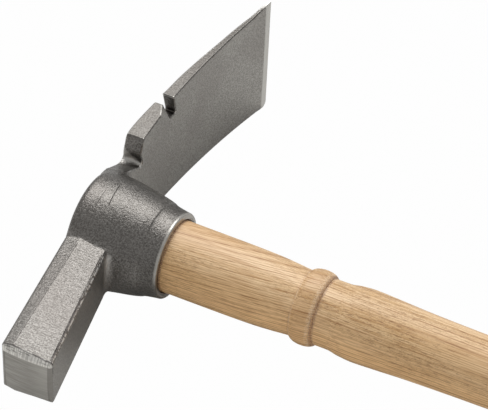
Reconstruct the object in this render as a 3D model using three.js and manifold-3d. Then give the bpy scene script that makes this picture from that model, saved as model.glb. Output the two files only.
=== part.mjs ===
// Brick hammer with a round eye: a forged steel head on a turned ash handle.
// Millimetres. The origin is the centre of the striking face. +X runs along the handle towards
// its butt, +Y from the striking face towards the cutting edge, +Z out of the head's side.
// Everything below is drawn round the handle's axis and moved into place at the end.
import * as THREE from 'three';
import { ConvexGeometry } from 'three/addons/geometries/ConvexGeometry.js';
import { mergeVertices } from 'three/addons/utils/BufferGeometryUtils.js';
import Module from 'manifold-3d';

const wasm = await Module();
wasm.setup();

// ---------- driving dimensions ----------
const AXIS_Y = 87;               // striking face to the handle's axis
const FIT_GAP = 0.3;             // clearance between pieces that touch
const ROUND_SEGMENTS = 48;       // facets of a turned body
const CURVE_POINTS = 10;         // steps along a drawn curve

// Poll, the square hammer end. A ridge runs along it where the forging dies meet, and it leans
// away from the handle towards the eye. Half heights are the same from end to end.
const STRIKING_FACE = { halfWidth: 9.2, top: 8.6, bottom: -9.3 };
const POLL_CHAMFER = 2;
const POLL_END_X = { left: -11.25, ridge: -6.45, right: 11.25 };
const POLL_ROOT_X = { left: -19.4, ridge: -12.6, right: -0.9 };
const POLL_HALF_HEIGHT = { left: 11.8, ridge: 12.9, right: 11.1 };
const POLL_ROOT_Y = -16;         // the poll ends inside the eye

// Eye, the tapered tube that holds the handle.
const EYE_TOP_X = -19.5;         // end where the handle is wedged
const EYE_MOUTH_X = 20.7;        // end where the handle enters
const EYE_RADIUS = 24.2;         // largest outer radius
const EYE_MOUTH_RADIUS = 18.8;   // outer radius at the mouth
const EYE_BARREL = 12;           // length of the nearly cylindrical stretch behind the top
const EYE_ROUND = 3;             // rounding of the top rim
const EYE_MOUTH_ROUND = 0.7;     // rounding of the mouth rim
const BORE_MOUTH_RADIUS = 15.8;  // bore where the handle enters
const BORE_TOP_RADIUS = 17.6;    // bore widened for the wedges

// Blade, the wide transverse end, with one notched side edge.
const BLADE_TIP_Y = 134;         // handle's axis to the cutting edge
const BLADE_BEND_Y = 35;         // the inner face, towards the handle, starts to curve here
const BLADE_FACE_X = -13;        // inner face at the root
const BLADE_SWEEP = 11;          // how far the inner face leans towards the handle at the tip
const CUTTING_EDGE_WIDTH = 0.6;
const BLADE_OUTER_FACE = [[-4.8, 129], [-8.1, 117], [-11.4, 101], [-14.4, 86], [-16.4, 74], [-17.7, 63]];
const SHOULDER_OUTER_FACE = [[-19.1, 57], [-21.3, 37], [-19.4, 0]];
const ROOT_HALF_WIDTH = 25.6;
const TIP_HALF_WIDTH = 29.3;
const UPPER_CORNER_Z = 31;       // sharp upper corner of the cutting edge
const UPPER_CORNER_LENGTH = 12;  // the upper edge kicks up over this length
const LOWER_CORNER_ROUND = 3;
const FLARE_START_Y = 54;        // the blade widens steadily from here to the tip

// Notches in the upper edge: a round hollow next to the eye, a shoulder, and a nail slot that
// leans outwards towards its bottom.
const HOLLOW = { nearY: 14.2, nearZ: 19.3, floorY: 27.3, floorZ: 11.7, cornerZ: 7.6 };
const HOLLOW_WALL = { y: 34.4, waist: 1.6, waistZ: 15.5, topZ: 20.4 };
const SHOULDER = { startY: 35.9, startZ: 21.9, endY: 56.8, endZ: 24.3 };
const NAIL_SLOT = { farTopY: 61, farY: 62.9, nearY: 57.8, bottomZ: 16.2, round: 0.6 };

// Handle, turned from one billet: station along the axis, then radius.
const HANDLE_TOP_X = -21;        // stands a little proud of the eye
const HANDLE_TOP_CHAMFER = 1.5;
const BUTT_X = 300;
const BUTT_FLAT_RADIUS = 9.5;
const FOREGRIP = [[50, 15.35], [62, 15.1], [70, 14.6]];
const BEAD = { start: 78, end: 88, neck: 14, crown: 16 };
const GRIP = [
  [94, 14], [99, 14.8], [105, 15.25], [115, 14.9], [128, 14.3], [150, 13.8], [180, 13.5],
  [215, 13.7], [250, 14.9], [275, 16.2], [288, 16.5], [295, 15.4], [299, 12.6],
];

// Wedges, driven from the top of the eye.
const WOODEN_WEDGE = { depth: 27, width: 29, thick: 4.6, thin: 1.2 };
const STEEL_WEDGE = { depth: 17, width: 15, thick: 2.6, thin: 0.5 };
const STEEL_WEDGE_PLACES = [-7.5, 7.5];
const WEDGE_PROUD = 0.5;         // wedges stand a little above the handle's end

// ---------- materials ----------
const forgedSteel = new THREE.MeshStandardMaterial({ color: 0x8b8985, roughness: 0.55, metalness: 0.85 });
const ash = new THREE.MeshStandardMaterial({ color: 0xdab67f, roughness: 0.5, metalness: 0 });
const beech = new THREE.MeshStandardMaterial({ color: 0xc79a68, roughness: 0.6, metalness: 0 });
const wedgeSteel = new THREE.MeshStandardMaterial({ color: 0x77767a, roughness: 0.45, metalness: 0.9 });

// ---------- solids ----------
function toSolid(geometry) {
  const bare = geometry.clone();
  bare.deleteAttribute('normal');
  bare.deleteAttribute('uv');
  const merged = mergeVertices(bare, 1e-4);
  return new wasm.Manifold(new wasm.Mesh({
    numProp: 3,
    vertProperties: Float32Array.from(merged.attributes.position.array),
    triVerts: Uint32Array.from(merged.index.array),
  }));
}

function toGeometry(solid) {
  const mesh = solid.getMesh();
  const geometry = new THREE.BufferGeometry();
  geometry.setAttribute('position', new THREE.BufferAttribute(mesh.vertProperties, 3));
  geometry.setIndex(new THREE.BufferAttribute(mesh.triVerts, 1));
  geometry.computeVertexNormals();
  return geometry;
}

// A body turned about the handle's axis, from (station along the axis, radius) pairs.
function turned(stations) {
  const profile = stations.map(([x, radius]) => new THREE.Vector2(radius, x));
  return new THREE.LatheGeometry(profile, ROUND_SEGMENTS).rotateZ(-Math.PI / 2);
}

// A shape drawn in the XY plane, as thick as given and centred on z = 0.
function extrudedAlongZ(shape, thickness) {
  const options = { depth: thickness, bevelEnabled: false, curveSegments: CURVE_POINTS };
  return new THREE.ExtrudeGeometry(shape, options).translate(0, 0, -thickness / 2);
}

// A shape whose drawing runs along Y and Z, as thick as given and centred on x = 0.
function extrudedAlongX(shape, thickness) {
  const standing = new THREE.Matrix4().makeBasis(
    new THREE.Vector3(0, 1, 0),
    new THREE.Vector3(0, 0, 1),
    new THREE.Vector3(1, 0, 0),
  );
  return extrudedAlongZ(shape, thickness).applyMatrix4(standing);
}

// ---------- head ----------
// The poll is the hull of the striking face, the section behind its chamfer and the root.
function pollSolid() {
  const points = [];
  for (const x of [-STRIKING_FACE.halfWidth, STRIKING_FACE.halfWidth]) {
    points.push(new THREE.Vector3(x, -AXIS_Y, STRIKING_FACE.top));
    points.push(new THREE.Vector3(x, -AXIS_Y, STRIKING_FACE.bottom));
  }
  for (const corner of ['left', 'ridge', 'right']) {
    for (const side of [-1, 1]) {
      const z = side * POLL_HALF_HEIGHT[corner];
      points.push(new THREE.Vector3(POLL_END_X[corner], POLL_CHAMFER - AXIS_Y, z));
      points.push(new THREE.Vector3(POLL_ROOT_X[corner], POLL_ROOT_Y, z));
    }
  }
  return toSolid(new ConvexGeometry(points));
}

function eyeSolid() {
  return toSolid(turned([
    [EYE_TOP_X, 0],
    [EYE_TOP_X, EYE_RADIUS - EYE_ROUND],
    [EYE_TOP_X + EYE_ROUND * 0.3, EYE_RADIUS - EYE_ROUND * 0.3],
    [EYE_TOP_X + EYE_ROUND, EYE_RADIUS],
    [EYE_TOP_X + EYE_BARREL, EYE_RADIUS - 0.2],
    [EYE_MOUTH_X - EYE_MOUTH_ROUND, EYE_MOUTH_RADIUS],
    [EYE_MOUTH_X, EYE_MOUTH_RADIUS - EYE_MOUTH_ROUND],
    [EYE_MOUTH_X, 0],
  ]));
}

// The bore tapers evenly and is drawn longer than the eye so that it cuts right through.
function boreSolid() {
  const reach = 2;
  const slope = (BORE_TOP_RADIUS - BORE_MOUTH_RADIUS) / (EYE_MOUTH_X - EYE_TOP_X);
  return toSolid(turned([
    [EYE_TOP_X - reach, 0],
    [EYE_TOP_X - reach, BORE_TOP_RADIUS + reach * slope],
    [EYE_MOUTH_X + reach, BORE_MOUTH_RADIUS - reach * slope],
    [EYE_MOUTH_X + reach, 0],
  ]));
}

// Section across the blade's width. The inner face is one arc, and the outer face thins the
// blade from the shoulder to the cutting edge.
function bladeSection() {
  const section = new THREE.Shape();
  const tipX = BLADE_FACE_X + BLADE_SWEEP;
  section.moveTo(BLADE_FACE_X, 0);
  section.lineTo(BLADE_FACE_X, BLADE_BEND_Y);
  section.quadraticCurveTo(BLADE_FACE_X, (BLADE_BEND_Y + BLADE_TIP_Y) / 2, tipX, BLADE_TIP_Y);
  section.lineTo(tipX - CUTTING_EDGE_WIDTH, BLADE_TIP_Y);
  const [bevelEnd, ...curve] = BLADE_OUTER_FACE;
  section.lineTo(...bevelEnd);
  section.splineThru(curve.map(([x, y]) => new THREE.Vector2(x, y)));
  for (const [x, y] of SHOULDER_OUTER_FACE) {
    section.lineTo(x, y);
  }
  return section;
}

// Outline of the blade seen along the handle: out to the cutting edge, then up to the notches.
function bladeOutline() {
  const outline = new THREE.Shape();
  const flare = (TIP_HALF_WIDTH - ROOT_HALF_WIDTH) / (BLADE_TIP_Y - FLARE_START_Y);
  const edgeZ = (y) => ROOT_HALF_WIDTH + flare * (y - FLARE_START_Y);
  const kickY = BLADE_TIP_Y - UPPER_CORNER_LENGTH;

  outline.moveTo(0, -EYE_RADIUS + 2);
  outline.quadraticCurveTo(FLARE_START_Y / 2, -EYE_RADIUS, FLARE_START_Y, -ROOT_HALF_WIDTH);
  outline.lineTo(BLADE_TIP_Y - LOWER_CORNER_ROUND, -TIP_HALF_WIDTH);
  outline.quadraticCurveTo(BLADE_TIP_Y, -TIP_HALF_WIDTH, BLADE_TIP_Y, LOWER_CORNER_ROUND - TIP_HALF_WIDTH);
  outline.lineTo(BLADE_TIP_Y, UPPER_CORNER_Z);
  outline.lineTo(kickY, edgeZ(kickY));

  const slot = NAIL_SLOT;
  outline.lineTo(slot.farTopY, edgeZ(slot.farTopY));
  outline.lineTo(slot.farY, slot.bottomZ + slot.round);
  outline.quadraticCurveTo(slot.farY, slot.bottomZ, slot.farY - slot.round, slot.bottomZ);
  outline.lineTo(slot.nearY + slot.round / 2, slot.bottomZ);
  outline.lineTo(slot.nearY, slot.bottomZ + slot.round);
  outline.lineTo(SHOULDER.endY, SHOULDER.endZ);
  outline.lineTo(SHOULDER.startY, SHOULDER.startZ);

  const wall = HOLLOW_WALL;
  outline.lineTo(wall.y, wall.topZ);
  outline.lineTo(wall.y - wall.waist, wall.waistZ);
  outline.quadraticCurveTo(wall.y, HOLLOW.cornerZ, HOLLOW.floorY, HOLLOW.floorZ);
  outline.lineTo(HOLLOW.nearY, HOLLOW.nearZ);
  outline.lineTo(0, HOLLOW.nearZ);
  return outline;
}

function bladeSolid() {
  const ample = 80;
  const section = toSolid(extrudedAlongZ(bladeSection(), ample));
  return section.intersect(toSolid(extrudedAlongX(bladeOutline(), ample)));
}

function headGeometry() {
  const forging = eyeSolid().add(pollSolid()).add(bladeSolid());
  return toGeometry(forging.subtract(boreSolid()));
}

// ---------- handle ----------
// A half-round ring standing on the handle.
function beadStations({ start, end, neck, crown }) {
  const stations = [];
  for (let i = 0; i <= CURVE_POINTS; i += 1) {
    const angle = Math.PI * i / CURVE_POINTS;
    const x = start + (end - start) * (1 - Math.cos(angle)) / 2;
    stations.push([x, neck + (crown - neck) * Math.sin(angle)]);
  }
  return stations;
}

function handleSolid() {
  const tenonTop = BORE_TOP_RADIUS - FIT_GAP;
  return toSolid(turned([
    [HANDLE_TOP_X, 0],
    [HANDLE_TOP_X, tenonTop - HANDLE_TOP_CHAMFER],
    [HANDLE_TOP_X + HANDLE_TOP_CHAMFER, tenonTop],
    [EYE_MOUTH_X, BORE_MOUTH_RADIUS - FIT_GAP],
    ...FOREGRIP,
    ...beadStations(BEAD),
    ...GRIP,
    [BUTT_X, BUTT_FLAT_RADIUS],
    [BUTT_X, 0],
  ]));
}

// ---------- wedges ----------
// A wedge pointing along +X from its thick end at x = 0, its width along Z. A pocket for it is
// larger all round and open at the thick end.
function wedgeGeometry({ depth, width, thick, thin }, clearance) {
  const side = new THREE.Shape();
  const backX = clearance > 0 ? -2 : 0;
  side.moveTo(backX, -thick / 2 - clearance);
  side.lineTo(depth + clearance, -thin / 2 - clearance);
  side.lineTo(depth + clearance, thin / 2 + clearance);
  side.lineTo(backX, thick / 2 + clearance);
  return extrudedAlongZ(side, width + 2 * clearance);
}

// The wooden wedge spreads the tenon across Z, so its width lies along Y.
function woodenWedgeSolid(clearance = 0) {
  const geometry = wedgeGeometry(WOODEN_WEDGE, clearance).rotateX(Math.PI / 2);
  return toSolid(geometry.translate(HANDLE_TOP_X - WEDGE_PROUD, 0, 0));
}

// The steel wedges cross the wooden one and spread the tenon across Y.
function steelWedgeSolid(y, clearance = 0) {
  const geometry = wedgeGeometry(STEEL_WEDGE, clearance);
  return toSolid(geometry.translate(HANDLE_TOP_X - WEDGE_PROUD, y, 0));
}

// ---------- assembly ----------
const hammer = new THREE.Group();
hammer.position.y = AXIS_Y;

function place(name, geometry, material) {
  const mesh = new THREE.Mesh(geometry, material);
  mesh.name = name;
  hammer.add(mesh);
}

let handle = handleSolid().subtract(woodenWedgeSolid(FIT_GAP));
let woodenWedge = woodenWedgeSolid();
for (const y of STEEL_WEDGE_PLACES) {
  const pocket = steelWedgeSolid(y, FIT_GAP);
  handle = handle.subtract(pocket);
  woodenWedge = woodenWedge.subtract(pocket);
}

place('hammer_head', headGeometry(), forgedSteel);
place('handle', toGeometry(handle), ash);
place('wooden_wedge', toGeometry(woodenWedge), beech);
STEEL_WEDGE_PLACES.forEach((y, i) => {
  place(`steel_wedge_${i + 1}`, toGeometry(steelWedgeSolid(y)), wedgeSteel);
});

export default hammer;
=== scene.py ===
"""Looks of the brick hammer: a drop-forged head with a round eye on a turned ash handle.

Lengths are in millimetres, drawn round the handle's axis as the part is, and become metres in the
row frame when a mesh is made: +X towards the butt, +Y towards the cutting edge, +Z up.
"""
import math

import bmesh
import bpy
import numpy as np
from mathutils import Matrix, Vector


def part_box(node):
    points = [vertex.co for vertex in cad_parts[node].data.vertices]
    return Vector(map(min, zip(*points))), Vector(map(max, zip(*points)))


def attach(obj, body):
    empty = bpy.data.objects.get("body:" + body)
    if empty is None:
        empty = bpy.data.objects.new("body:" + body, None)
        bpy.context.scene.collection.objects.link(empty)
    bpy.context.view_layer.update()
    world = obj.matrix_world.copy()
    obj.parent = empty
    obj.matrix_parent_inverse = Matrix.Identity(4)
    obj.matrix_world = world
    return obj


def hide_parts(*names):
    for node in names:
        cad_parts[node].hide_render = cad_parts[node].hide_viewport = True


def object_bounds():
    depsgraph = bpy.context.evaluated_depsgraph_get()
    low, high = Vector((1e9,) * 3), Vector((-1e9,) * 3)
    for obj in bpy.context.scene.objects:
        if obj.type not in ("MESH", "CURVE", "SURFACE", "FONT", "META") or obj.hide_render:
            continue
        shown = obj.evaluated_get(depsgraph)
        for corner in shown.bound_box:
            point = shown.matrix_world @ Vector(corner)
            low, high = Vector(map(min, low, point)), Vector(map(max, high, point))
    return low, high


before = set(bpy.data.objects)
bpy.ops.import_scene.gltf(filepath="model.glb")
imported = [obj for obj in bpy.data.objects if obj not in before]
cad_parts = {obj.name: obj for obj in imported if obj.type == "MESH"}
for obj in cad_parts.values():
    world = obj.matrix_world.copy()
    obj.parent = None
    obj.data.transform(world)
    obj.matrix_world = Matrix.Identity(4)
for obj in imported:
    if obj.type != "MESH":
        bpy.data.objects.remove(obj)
cad_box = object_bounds()

MM = 0.001
HEAD_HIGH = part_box("hammer_head")[1]
HANDLE_LOW, HANDLE_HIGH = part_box("handle")
AXIS_Y = (HANDLE_LOW.y + HANDLE_HIGH.y) / 2 / MM  # striking face to the handle's axis
AXIS = Vector((0, AXIS_Y, 0)) * MM

# ---------- camera ----------
CAMERA_AZIMUTH = 24.4606
CAMERA_ELEVATION = 42.99
CAMERA_ROLL = 2.606
CAMERA_AIM = (31.58, 127.8, 0)
CAMERA_DISTANCE = 1032.68
CAMERA_LENS = 182.01  # on a sensor 36 mm wide

# ---------- head ----------
FACE_HALF_WIDTH, FACE_TOP, FACE_BOTTOM = 9.2, 8.6, -9.3
FACE_CROWN = 0.5  # the striking face is very slightly domed
POLL_CHAMFER = 2
POLL_END_X = (-11.25, -6.45, 11.25)  # left side, ridge, right side
POLL_ROOT_X = (-19.4, -12.6, -0.9)
POLL_HALF_HEIGHT = (11.8, 12.9, 11.1)
POLL_ROOT_Y = -16
POLL_INSIDE_Y = -12  # hidden end of the poll, inside the eye
POLL_EDGE = 0.9  # bevel along its two edges on the handle's side
POLL_LEFT_ROUND = 1.2
ROOF_TO_DISTANCE, LEFT_TO_DISTANCE, RIGHT_TO_DISTANCE = 0.985, 0.99, 0.985

EYE_TOP_X = -19.5  # the end that is wedged
EYE_MOUTH_X = HEAD_HIGH.x / MM
EYE_PROFILE = [(-21, 24.2), (-16.5, 24.2), (-7.5, 24), (2, 22.5), (12.2, 20.35), (12.8, 19.95), (22, 18.3)]
EYE_ROUND = 3
EYE_MOUTH_ROUND = 0.6
BORE_TOP_RADIUS, BORE_MOUTH_RADIUS = 17.6, 15.8
BORE_CHAMFER = 0.5

BLADE_TIP_Y = HEAD_HIGH.y / MM - AXIS_Y
BLADE_BEND_Y = 35
BLADE_FACE_X = -13
BLADE_SWEEP = 11
CUTTING_EDGE_WIDTH = 0.6
BACK_BEVEL_Y, BACK_BEVEL_X = 129, -4.8
BLADE_BACK = [
    (-12, -19.4), (0, -19.6), (37, -21.3), (57, -19.1), (63, -17.7), (74, -16.4), (86, -14.4),
    (101, -11.4), (117, -8.1), (BACK_BEVEL_Y, BACK_BEVEL_X), (140, -1.8),
]
FACE_BEVEL_TILT = 0.085  # ground strip along the cutting edge
FACE_BEVEL_LOW, FACE_BEVEL_HIGH = 4.5, 2  # its length at the lower and upper corner
LOWER_EDGE = [(-12, 22.2), (0, 22.2), (27, 24.1), (54, 25.6), (134, 29.3), (140, 29.6)]
FLARE = 0.04625
ROOT_HALF_WIDTH = 25.6
FLARE_START_Y = 54
UPPER_CORNER_Z = HEAD_HIGH.z / MM
UPPER_CORNER_LENGTH = 12
LOWER_CORNER_ROUND = 3
BLADE_EDGE = 0.5  # worn bevel round the blade's faces
BLADE_EDGE_FADE = 8  # which ends this far before the tip

SHOULDER_Y, SHOULDER_Z, SHOULDER_SLOPE = 35, 21.8, 0.118
HOLLOW_WALL_Y, HOLLOW_WAIST, HOLLOW_WAIST_Z, HOLLOW_WAIST_SIZE = 34.4, 1.6, 15.5, 3
HOLLOW_FLOOR = (13.4, 19.8, -0.585)  # a point on the floor, and its slope
HOLLOW_ROUND = (3, 9)  # at the inner face and at the back
HOLLOW_ROUND_DEPTH = 8
SLOT_NEAR = ((56.8, 24.3), (57.8, 16.8))
SLOT_FAR = ((61, 25.9), (62.9, 16.8))
SLOT_BOTTOM_Z = 16.2
SLOT_ROUND = 0.6
TOOTH_BEVEL = 1.5  # between the tooth's top and the hollow
SLOT_BEVEL_POINT = (-15.6, 57, 24.3)  # wide bevel that opens the slot's near corner
SLOT_BEVEL_NORMAL = (0.88, 0.315, 0.357)
SLOT_BEVEL_BOTTOM_Z = 17.4

POLL_FILLET = (0.7, 3.4)  # over the poll, and beside it
WIDE_FILLET_Z, WIDE_FILLET_X = (11, 7), (-5, 0)  # where one becomes the other
BLADE_FILLET = 2.2

# ---------- lattice that the head is meshed on ----------
LATTICE_FINE = 0.7  # close planes on both sides of an edge
LATTICE_OUT = 2.1
LATTICE_TO_EYE = (-38, -28)  # Y where the planes leave the poll's edges
LATTICE_TO_BLADE = (25.5, 38)  # and where they join the blade's
LATTICE_Y = [
    -AXIS_Y - 1.2, -AXIS_Y, -AXIS_Y + 2.4, -30, 28, 68, BLADE_TIP_Y - 13, BLADE_TIP_Y, BLADE_TIP_Y + 1.2,
]
MOUTH_PLANES = [EYE_MOUTH_X - LATTICE_OUT, EYE_MOUTH_X + 0.2, EYE_MOUTH_X + 1.2]
EYE_PLANES_X = [EYE_TOP_X - 2.7 + 0.688 * cells for cells in (0, 2, 6, 14, 32, 36, 39)] + MOUTH_PLANES
EYE_PLANES_Z = [-30, -28.5, -26, -13.5, -11, 11, 13.5, 26, 28.5, 30]
ABOVE_POLL = [-LATTICE_FINE, LATTICE_FINE, 5, 7, 8]
BESIDE_BLADE = [LATTICE_OUT, 4, 5, 6]
BLADE_MIDDLE = [-15, -12.5, 12.5, 15]
CELLS_Y = [2, 6, 54, 88, 80, 52, 26, 3]
CELLS_X = [2, 4, 8, 18, 4, 3, 36, 6, 3]
CELLS_Z = [2, 4, 18, 4, 40, 4, 20, 4, 2]
SLOT_LEAN = -0.18
SLOT_LEAN_Y, SLOT_LEAN_Z = (9, 3), (8, 14)  # from the slot's middle; above the axis

# ---------- marks and finish of the head ----------
MARK_START_Y, MARK_END_Y = 3.2 - AXIS_Y, POLL_ROOT_Y - 8
EDGE_LINE_INSET = 1.25  # dark line beside the poll's right edge
BEHIND_CHAMFER_Y = POLL_CHAMFER + 0.1 - AXIS_Y
GLINT_INSET, GLINT_START_Y = 0.5, POLL_CHAMFER + 1 - AXIS_Y
GROUND_TO_Y = POLL_CHAMFER + 0.3 - AXIS_Y
GROUND_RIM, GROUND_RIM_RADIUS = 1.2, 20
SMOOTH_BLADE_FROM_Y, SMOOTH_POLL_TO_Y = 5, -20
BLADE_TOP_Y, BLADE_TOP_Z = (24, 32), (20, 21.4)  # darker strip along the blade's upper edge
BRUSHED_TOP_Y, BRUSHED_TOP_Z = (-22, -28), (9, 10.4)
POLL_SIDE_X, POLL_SIDE_Y, POLL_SIDE_Z = (-0.5, 1.0), (-24, -16), (10.5, 8)

# ---------- handle ----------
BUTT_X = HANDLE_HIGH.x / MM
HANDLE_TOP_X = HANDLE_LOW.x / MM
FIT_GAP = 0.3
TOP_CHAMFER = 1.5
TENON_TOP, TENON_MOUTH = BORE_TOP_RADIUS - FIT_GAP, BORE_MOUTH_RADIUS - FIT_GAP
BEAD_START, BEAD_END, BEAD_NECK, BEAD_CROWN = 78, 88, 14, 16
BEAD_MIDDLE, BEAD_HALF = (BEAD_START + BEAD_END) / 2, (BEAD_END - BEAD_START) / 2
SHAFT = [
    (EYE_MOUTH_X, TENON_MOUTH), (50, 15.35), (62, 15.1), (70, 14.6), (BEAD_START, BEAD_NECK),
    (BEAD_END, BEAD_NECK), (94, 14), (99, 14.8), (105, 15.25), (115, 14.9), (128, 14.3), (150, 13.8),
    (180, 13.5), (215, 13.7), (250, 14.9), (275, 16.2), (288, 16.5), (295, 15.4), (299, 12.6),
    (BUTT_X, 9.5),
]
TURNED_SEGMENTS, TURNED_SHARP = 112, 35
BUTT_CURVE = 12  # closer stations over this length
PITH_Y, PITH_Z = -66, -64  # the tree's centre, well outside the handle
LINE_RUN_OUT = 0.08  # slope of the growth lines before the bead
GROWTH_LINES = [(1.9, 0.9, 0.12, 1.0), (0.87, 0.5, 0.22, 0.5)]  # spacing, wander, half width, strength

# ---------- wedges ----------
WEDGE_PROUD = 0.5
WEDGE_EDGE = 0.25
POCKET_RISE = 2  # a pocket's cutter stands this far above its wedge
WOODEN_WEDGE = {"depth": 27, "width": 29, "thick": 4.6, "thin": 1.2}
STEEL_WEDGE = {"depth": 17, "width": 15, "thick": 2.6, "thin": 0.5}
STEEL_WEDGE_PLACES = (-7.5, 7.5)

# ---------- stage ----------
TOP_LIGHT = {"azimuth": 202, "elevation": 60, "distance": 1.7, "size": (1.7, 1.0), "power": 23}
WORLD_STOPS = [(0.0, 0.1), (0.5, 0.56), (0.8, 0.6), (1.0, 0.55)]
FLOOR_SIZE = 8
FLOOR_GAP = 0.2
BOUNCE_GAP = 1  # plain sheet under the white one


# ---------- fields: distance to a surface in mm, negative inside ----------
class Curve:
    """A smooth curve through (station, value) pairs that doesn't overshoot them."""

    def __init__(self, points, step=0.05):
        xs, ys = np.array(points, float).T
        width = np.diff(xs)
        slope = np.diff(ys) / width
        tangent = np.zeros(len(xs))
        same_way = slope[:-1] * slope[1:] > 0
        both = np.where(same_way, slope[:-1] * slope[1:], 1)
        mean = np.where(same_way, slope[:-1] + slope[1:], 1)
        tangent[1:-1] = np.where(same_way, 2 * both / mean, 0)
        tangent[0], tangent[-1] = slope[0], slope[-1]
        self.at = np.arange(xs[0], xs[-1] + step, step)
        i = np.clip(np.searchsorted(xs, self.at, side="right") - 1, 0, len(width) - 1)
        t = np.clip((self.at - xs[i]) / width[i], 0, 1)
        start = (1 + 2 * t) * (1 - t) ** 2 * ys[i] + t * (1 - t) ** 2 * width[i] * tangent[i]
        end = t**2 * (3 - 2 * t) * ys[i + 1] - t**2 * (1 - t) * width[i] * tangent[i + 1]
        self.values = start + end
        self.slopes = np.gradient(self.values, self.at)

    def __call__(self, x):
        return np.interp(x, self.at, self.values)

    def steepness(self, x):
        """Length of the curve for each mm of station."""
        return np.hypot(1, np.interp(x, self.at, self.slopes))


eye_radius = Curve(EYE_PROFILE)
back_face = Curve(BLADE_BACK)
lower_edge = Curve(LOWER_EDGE)
shaft_radius = Curve(SHAFT)
TIP_LOW_Z = float(lower_edge(BLADE_TIP_Y))


def round_union(a, b, radius):
    """Both bodies, with a fillet of that radius where they meet."""
    inside = np.hypot(np.maximum(radius - a, 0), np.maximum(radius - b, 0))
    return np.maximum(radius, np.minimum(a, b)) - inside


def round_cut(a, b, radius):
    """What two bodies share, its edge rounded to that radius."""
    outside = np.hypot(np.maximum(radius + a, 0), np.maximum(radius + b, 0))
    return np.minimum(-radius, np.maximum(a, b)) + outside


def bevel_cut(a, b, size):
    """What two bodies share, its edge cut back by that much."""
    return np.maximum(np.maximum(a, b), (a + b + size) * math.sqrt(0.5))


def line_side(y, z, start, end):
    """Distance from a line in the YZ plane, positive to the left of start to end."""
    dy, dz = end[0] - start[0], end[1] - start[1]
    return ((z - start[1]) * dy - (y - start[0]) * dz) / math.hypot(dy, dz)


def smooth_step(low, high, x):
    """0 at low, 1 at high, smooth in between; low may be the larger."""
    t = np.clip((x - low) / (high - low), 0, 1)
    return t * t * (3 - 2 * t)


def poll_edges(y):
    """X of the poll's left side, ridge and right side."""
    end_y = POLL_CHAMFER - AXIS_Y
    along = (y - end_y) / (POLL_ROOT_Y - end_y)
    return [a + along * (b - a) for a, b in zip(POLL_END_X, POLL_ROOT_X)]


def poll_roof(x, left, ridge, right):
    """Half the poll's height, which falls from the ridge to both sides."""
    low_left, high, low_right = POLL_HALF_HEIGHT
    roof_left = low_left + (x - left) * (high - low_left) / (ridge - left)
    roof_right = high - (x - ridge) * (high - low_right) / (right - ridge)
    return np.minimum(roof_left, roof_right)


def end_plane(across, limit, rise, out):
    """One plane of the chamfer round the striking face."""
    return ((across - limit) * POLL_CHAMFER + out * rise) / np.hypot(POLL_CHAMFER, rise)


def poll_end_field(x, y, z):
    """The striking face and its four chamfers."""
    crown = FACE_CROWN * (x**2 + z**2) / FACE_HALF_WIDTH**2
    out = -AXIS_Y - y
    roof = poll_roof(x, *POLL_END_X)
    top = end_plane(z, FACE_TOP, roof - FACE_TOP, out)
    bottom = end_plane(-z, -FACE_BOTTOM, roof + FACE_BOTTOM, out)
    sides = end_plane(np.abs(x), FACE_HALF_WIDTH, POLL_END_X[2] - FACE_HALF_WIDTH, out)
    return np.maximum(np.maximum(out + crown, sides), np.maximum(top, bottom))


def poll_field(x, y, z):
    left, ridge, right = poll_edges(y)
    roof = (np.abs(z) - poll_roof(x, left, ridge, right)) * ROOF_TO_DISTANCE
    body = bevel_cut(roof, (x - right) * RIGHT_TO_DISTANCE, POLL_EDGE)
    body = round_cut(body, (left - x) * LEFT_TO_DISTANCE, POLL_LEFT_ROUND)
    return np.maximum(np.maximum(body, poll_end_field(x, y, z)), y - POLL_INSIDE_Y)


def steel_marks():
    """Thin dark lines on the upper side: x and y of the start and the end, half width, strength."""
    ridge_start, right_start = poll_edges(MARK_START_Y)[1:]
    ridge_end, right_end = poll_edges(MARK_END_Y)[1:]
    beside_start = (right_start - EDGE_LINE_INSET, MARK_START_Y)
    beside_end = (right_end - EDGE_LINE_INSET, MARK_END_Y)
    chamfer_ends = [(POLL_END_X[side], BEHIND_CHAMFER_Y) for side in (0, 2)]
    return [
        ((-7.8, 5.4), (-6.4, -7.4), 0.17, 0.75),  # parting lines over the eye
        ((-11.2, -1.7), (-11.2, -9.7), 0.15, 0.4),
        ((ridge_start, MARK_START_Y), (ridge_end, MARK_END_Y), 0.17, 0.5),
        (beside_start, beside_end, 0.24, 0.85),
        (*chamfer_ends, 0.26, 0.85),
    ]


def eye_field(x, y, z):
    barrel = (np.hypot(y, z) - eye_radius(x)) / eye_radius.steepness(x)
    body = round_cut(barrel, EYE_TOP_X - x, EYE_ROUND)
    return round_cut(body, x - EYE_MOUTH_X, EYE_MOUTH_ROUND)


def bore_field(x, y, z):
    slope = (BORE_TOP_RADIUS - BORE_MOUTH_RADIUS) / (EYE_MOUTH_X - EYE_TOP_X)
    radius = BORE_TOP_RADIUS - slope * (x - EYE_TOP_X)
    flare = np.maximum(x - EYE_MOUTH_X + BORE_CHAMFER, 0)
    flare += np.maximum(EYE_TOP_X + BORE_CHAMFER - x, 0)
    return np.hypot(y, z) - radius - flare


def inner_face_x(y):
    """The blade's face on the handle's side."""
    bend = np.maximum(y - BLADE_BEND_Y, 0) / (BLADE_TIP_Y - BLADE_BEND_Y)
    return BLADE_FACE_X + BLADE_SWEEP * bend**2


def inner_face_slope(y):
    reach = BLADE_TIP_Y - BLADE_BEND_Y
    return 2 * BLADE_SWEEP * np.maximum(y - BLADE_BEND_Y, 0) / reach**2


def face_bevel_y(z):
    """Where the ground strip along the cutting edge begins."""
    share = (z + TIP_LOW_Z) / (TIP_LOW_Z + UPPER_CORNER_Z)
    return BLADE_TIP_Y - FACE_BEVEL_LOW + share * (FACE_BEVEL_LOW - FACE_BEVEL_HIGH)


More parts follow.
